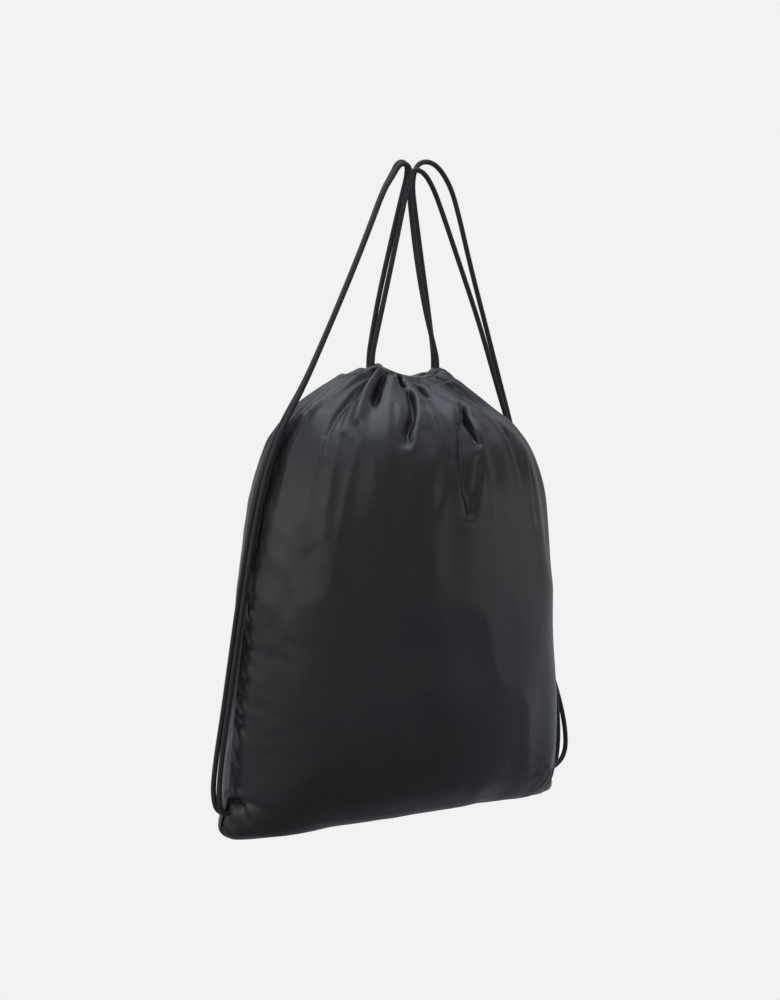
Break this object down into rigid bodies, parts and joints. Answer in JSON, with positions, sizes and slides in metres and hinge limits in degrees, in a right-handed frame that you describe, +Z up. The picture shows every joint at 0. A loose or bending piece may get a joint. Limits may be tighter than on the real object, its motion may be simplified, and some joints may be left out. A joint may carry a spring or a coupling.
{
  "type": "drawstring backpack",
  "caption": "Full black nylon drawstring backpack with a gathered mouth, hanging from a hook by its two cord shoulder straps.",
  "frame": {"origin": "top of the hook that both drawstrings hang over", "axes": "+Z up, -Y out of the front panel, +Y towards the wearer's back, +X to the right seen from the front"},
  "size_m": [0.3737, 0.2176, 0.5712],
  "materials": {
    "nylon": "satin woven nylon, black",
    "cord": "round braided polyester cord, black",
    "seam_thread": "overlocked seam edge, black"
  },
  "bodies": {
    "root": {"front_panel": "nylon", "back_panel": "nylon", "front_casing": "nylon", "back_casing": "nylon", "bottom_seam": "seam_thread", "left_side_seam": "seam_thread", "right_side_seam": "seam_thread", "left_knot": "cord", "right_knot": "cord", "left_cord_front": "cord", "left_cord_rear": "cord", "right_cord_front": "cord", "right_cord_rear": "cord", "left_tunnel_cord": "cord", "right_tunnel_cord": "cord"}
  },
  "joints": []
}
